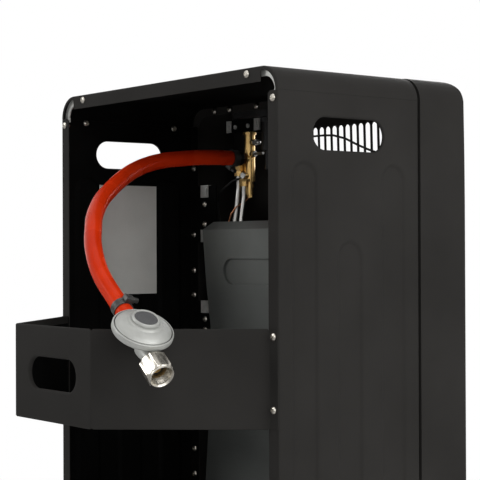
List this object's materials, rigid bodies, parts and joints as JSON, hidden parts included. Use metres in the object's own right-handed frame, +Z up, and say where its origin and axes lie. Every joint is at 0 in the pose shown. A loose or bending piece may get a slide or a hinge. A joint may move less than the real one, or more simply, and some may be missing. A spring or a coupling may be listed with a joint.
{
  "type": "portable gas cabinet heater",
  "caption": "Upright sheet steel gas cabinet heater on castors with a radiant burner, an open bottle bay behind a bolted guard, and a hose with its regulator.",
  "frame": {"origin": "on the floor, under the middle of the cabinet with its guard, without the free hose and regulator", "axes": "+Z up, the burner faces -Y, the bottle and its guard are on the +Y side, +X is on the right of someone who faces the burner"},
  "size_m": [0.4248, 0.4291, 0.7305],
  "materials": {
    "black_paint": "fine satin powder coat",
    "galvanised": "galvanised sheet",
    "bright_wire": "bright plated wire",
    "screw_nickel": "nickel plated",
    "reflector_steel": "polished stainless sheet",
    "black_plastic": "matte",
    "red_plastic": "satin",
    "brass": "turned",
    "spindle_steel": "turned",
    "aluminium_tube": "drawn tube",
    "lead_rubber": "matte",
    "ceramic": "matte ceramic",
    "orange_rubber": "smooth satin",
    "cast_zinc": "fine cast, silver lacquer",
    "nut_nickel": "nickel plated",
    "castor_steel": "zinc plated",
    "castor_plastic": "matte"
  },
  "bodies": {
    "cabinet": {"side_panel_left": "black_paint", "side_panel_right": "black_paint", "top_cover": "black_paint", "corner_plates": "galvanised", "front_shell": "black_paint", "guard_grille": "bright_wire", "base_tray": "black_paint", "bottle_guard": "black_paint", "sheet_screws": "screw_nickel", "control_panel": "black_plastic", "valve_bracket": "black_paint", "control_screws": "screw_nickel", "gas_valve": "brass", "hose_nipple": "brass", "port_screws": "brass", "brass_nuts": "brass", "burner_tube": "aluminium_tube", "pilot_tube": "aluminium_tube", "igniter_body": "black_plastic", "igniter_nut": "black_plastic", "insulated_leads": "lead_rubber", "thermocouple_lead": "aluminium_tube", "burner_housing": "galvanised", "housing_brackets": "black_paint", "spring_clips": "galvanised", "reflector": "reflector_steel", "burner_bodies": "galvanised", "ceramic_plaques": "ceramic", "gas_manifold": "galvanised", "injectors": "brass", "pilot_bracket": "galvanised", "pilot_burner": "brass", "thermocouple": "spindle_steel", "electrode": "ceramic", "gas_hose": "orange_rubber", "valve_clamp": "spindle_steel", "regulator_clamp": "spindle_steel", "regulator_body": "cast_zinc", "regulator_cover": "cast_zinc", "regulator_cap": "cast_zinc", "regulator_nozzle": "brass", "nozzle_seal": "lead_rubber", "castor_plates": "galvanised"},
    "knob_body": {"control_knob": "black_plastic", "valve_spindle": "spindle_steel"},
    "valve_plug_body": {"valve_plug": "brass"},
    "igniter_button_body": {"igniter_button": "red_plastic"},
    "union_nut_body": {"union_nut": "nut_nickel"},
    "castor_fl": {"castor_fork_fl": "castor_steel", "castor_axle_fl": "castor_steel"},
    "castor_fr": {"castor_fork_fr": "castor_steel", "castor_axle_fr": "castor_steel"},
    "castor_rl": {"castor_fork_rl": "castor_steel", "castor_axle_rl": "castor_steel"},
    "castor_rr": {"castor_fork_rr": "castor_steel", "castor_axle_rr": "castor_steel"},
    "wheel_fl": {"castor_wheel_fl": "castor_plastic"},
    "wheel_fr": {"castor_wheel_fr": "castor_plastic"},
    "wheel_rl": {"castor_wheel_rl": "castor_plastic"},
    "wheel_rr": {"castor_wheel_rr": "castor_plastic"}
  },
  "joints": [
    {"name": "knob_turn", "type": "hinge", "parent": "cabinet", "child": "valve_plug_body", "pos_m": [0.122, -0.15815, 0.69], "axis": [0, 0, 1], "range_deg": [0, 240]},
    {"name": "knob_press", "type": "slide", "parent": "valve_plug_body", "child": "knob_body", "axis": [0, 0, -1], "range_m": [0, 0.003], "stiffness_N_per_m": 900, "springref_m": -0.002},
    {"name": "igniter_press", "type": "slide", "parent": "cabinet", "child": "igniter_button_body", "axis": [0, 0, -1], "range_m": [0, 0.005], "stiffness_N_per_m": 700, "springref_m": -0.002},
    {"name": "union_nut_turn", "type": "hinge", "parent": "cabinet", "child": "union_nut_body", "pos_m": [-0.17005, 0.19305, 0.43186], "axis": [-0.8286, 0.1017, -0.5505], "continuous": true},
    {"name": "castor_swivel_fl", "type": "hinge", "parent": "cabinet", "child": "castor_fl", "pos_m": [-0.172, -0.16715, 0.055], "axis": [0, 0, 1], "continuous": true},
    {"name": "wheel_spin_fl", "type": "hinge", "parent": "castor_fl", "child": "wheel_fl", "pos_m": [-0.172, -0.15215, 0.02], "axis": [1, 0, 0], "continuous": true},
    {"name": "castor_swivel_fr", "type": "hinge", "parent": "cabinet", "child": "castor_fr", "pos_m": [0.172, -0.16715, 0.055], "axis": [0, 0, 1], "continuous": true},
    {"name": "wheel_spin_fr", "type": "hinge", "parent": "castor_fr", "child": "wheel_fr", "pos_m": [0.172, -0.15215, 0.02], "axis": [1, 0, 0], "continuous": true},
    {"name": "castor_swivel_rl", "type": "hinge", "parent": "cabinet", "child": "castor_rl", "pos_m": [-0.098, 0.16585, 0.055], "axis": [0, 0, 1], "continuous": true},
    {"name": "wheel_spin_rl", "type": "hinge", "parent": "castor_rl", "child": "wheel_rl", "pos_m": [-0.098, 0.18085, 0.02], "axis": [1, 0, 0], "continuous": true},
    {"name": "castor_swivel_rr", "type": "hinge", "parent": "cabinet", "child": "castor_rr", "pos_m": [0.098, 0.16585, 0.055], "axis": [0, 0, 1], "continuous": true},
    {"name": "wheel_spin_rr", "type": "hinge", "parent": "castor_rr", "child": "wheel_rr", "pos_m": [0.098, 0.18085, 0.02], "axis": [1, 0, 0], "continuous": true}
  ]
}
